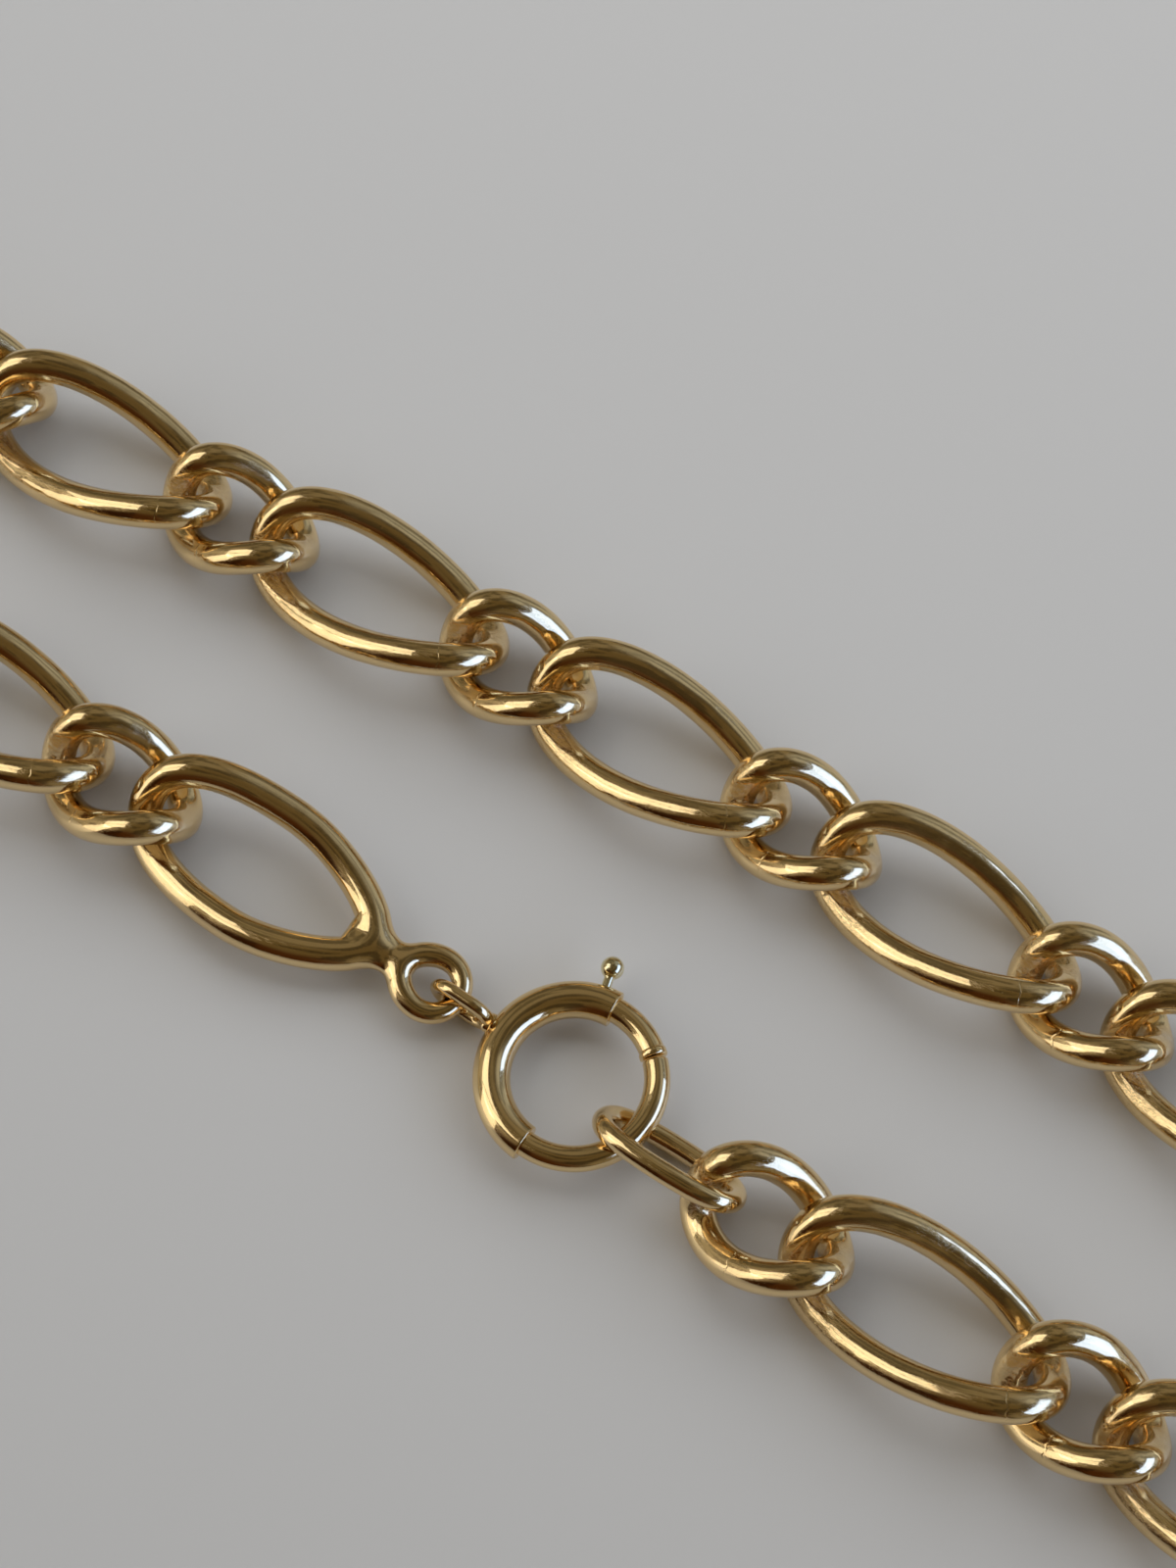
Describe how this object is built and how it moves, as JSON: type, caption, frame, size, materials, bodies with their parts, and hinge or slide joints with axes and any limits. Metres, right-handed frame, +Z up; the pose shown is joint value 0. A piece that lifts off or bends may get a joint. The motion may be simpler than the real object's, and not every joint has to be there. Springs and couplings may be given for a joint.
{
  "type": "link bracelet",
  "caption": "Gold curb chain bracelet of long and short twisted links in turn, closed by a bolt ring and lying as a flat closed loop.",
  "frame": {"origin": "on the surface that the bracelet lies on, under the middle of the closed loop's box", "axes": "+X along the two strands, from the clasp's eye towards its connector link; +Y from the clasp's strand to the plain strand; +Z up from the surface"},
  "size_m": [0.0934, 0.0212, 0.0044],
  "materials": {
    "chain_gold": "polished",
    "clasp_gold": "polished",
    "bolt_gold": "polished"
  },
  "bodies": {
    "chain": {"bolt_ring": "clasp_gold", "connector_link": "chain_gold", "end_link": "chain_gold", "long_link_01": "chain_gold", "long_link_02": "chain_gold", "long_link_03": "chain_gold", "long_link_04": "chain_gold", "long_link_05": "chain_gold", "long_link_06": "chain_gold", "long_link_07": "chain_gold", "long_link_08": "chain_gold", "long_link_09": "chain_gold", "long_link_10": "chain_gold", "long_link_11": "chain_gold", "long_link_12": "chain_gold", "short_link_01": "chain_gold", "short_link_02": "chain_gold", "short_link_03": "chain_gold", "short_link_04": "chain_gold", "short_link_05": "chain_gold", "short_link_06": "chain_gold", "short_link_07": "chain_gold", "short_link_08": "chain_gold", "short_link_09": "chain_gold", "short_link_10": "chain_gold", "short_link_11": "chain_gold", "short_link_12": "chain_gold", "short_link_13": "chain_gold"},
    "bolt": {"bolt": "bolt_gold"}
  },
  "joints": [
    {"name": "bolt_slide_back", "type": "hinge", "parent": "chain", "child": "bolt", "pos_m": [0.00262, -0.00646, 0.00145], "axis": [-0.0515, 0.0095, 0.9986], "range_deg": [0, 35], "stiffness_Nm_per_rad": 0.01, "springref_deg": -11.46}
  ]
}
